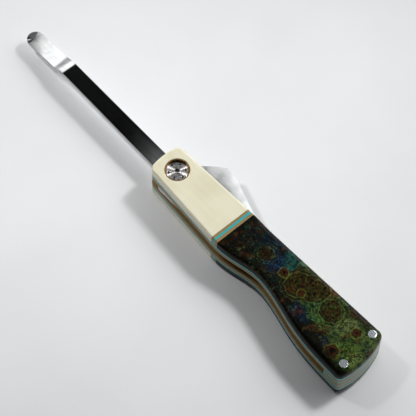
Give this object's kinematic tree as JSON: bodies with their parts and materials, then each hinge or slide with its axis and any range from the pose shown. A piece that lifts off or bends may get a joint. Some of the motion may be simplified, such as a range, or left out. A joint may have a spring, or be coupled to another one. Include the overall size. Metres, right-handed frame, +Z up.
{
  "type": "folding whittling knife",
  "caption": "Friction-folding whittling knife with a long bent tang, ivory bolsters, striped inlays and dyed-burl scales on layered liners.",
  "frame": {"origin": "on the surface the folded knife lies on, under the middle of its bounding box", "axes": "+X along the handle from the pivot to the butt, +Y to the straight back of the handle, +Z up through the layers of the handle"},
  "size_m": [0.1884, 0.03, 0.0165],
  "materials": {
    "knife_steel": "satin, brushed along the length",
    "polished_steel": "polished",
    "brass_collar": "turned, darkened",
    "bronze_washer": "lapped",
    "ivory_resin": "sanded and buffed, warm ivory",
    "teal_laminate": "fine-sanded glass laminate",
    "tan_laminate": "fine-sanded fibre laminate",
    "dyed_burl": "stabilised, dyed green and blue, polished"
  },
  "bodies": {
    "handle": {"pivot_barrel": "polished_steel", "bolster_upper": "ivory_resin", "bolster_lower": "ivory_resin", "inlay_tan_front_upper": "tan_laminate", "inlay_tan_front_lower": "tan_laminate", "inlay_teal_upper": "teal_laminate", "inlay_teal_lower": "teal_laminate", "inlay_tan_rear_upper": "tan_laminate", "inlay_tan_rear_lower": "tan_laminate", "burl_scale_upper": "dyed_burl", "burl_scale_lower": "dyed_burl", "tan_liner_upper": "tan_laminate", "tan_liner_lower": "tan_laminate", "teal_liner_upper": "teal_laminate", "teal_liner_lower": "teal_laminate", "pivot_collar_upper": "brass_collar", "pivot_collar_lower": "brass_collar", "pivot_screw_upper": "polished_steel", "pivot_screw_lower": "polished_steel", "washer_upper": "bronze_washer", "washer_lower": "bronze_washer", "spacer_front_strip": "teal_laminate", "spacer_core": "tan_laminate", "spacer_teal_upper": "teal_laminate", "spacer_teal_lower": "teal_laminate", "butt_pin_back": "polished_steel", "butt_pin_belly": "polished_steel"},
    "blade": {"blade_and_tang": "knife_steel"}
  },
  "joints": [
    {"name": "blade_pivot", "type": "hinge", "parent": "handle", "child": "blade", "pos_m": [-0.00645, -0.00367, 0.00825], "axis": [0, 0, -1], "range_deg": [0, 167]}
  ]
}
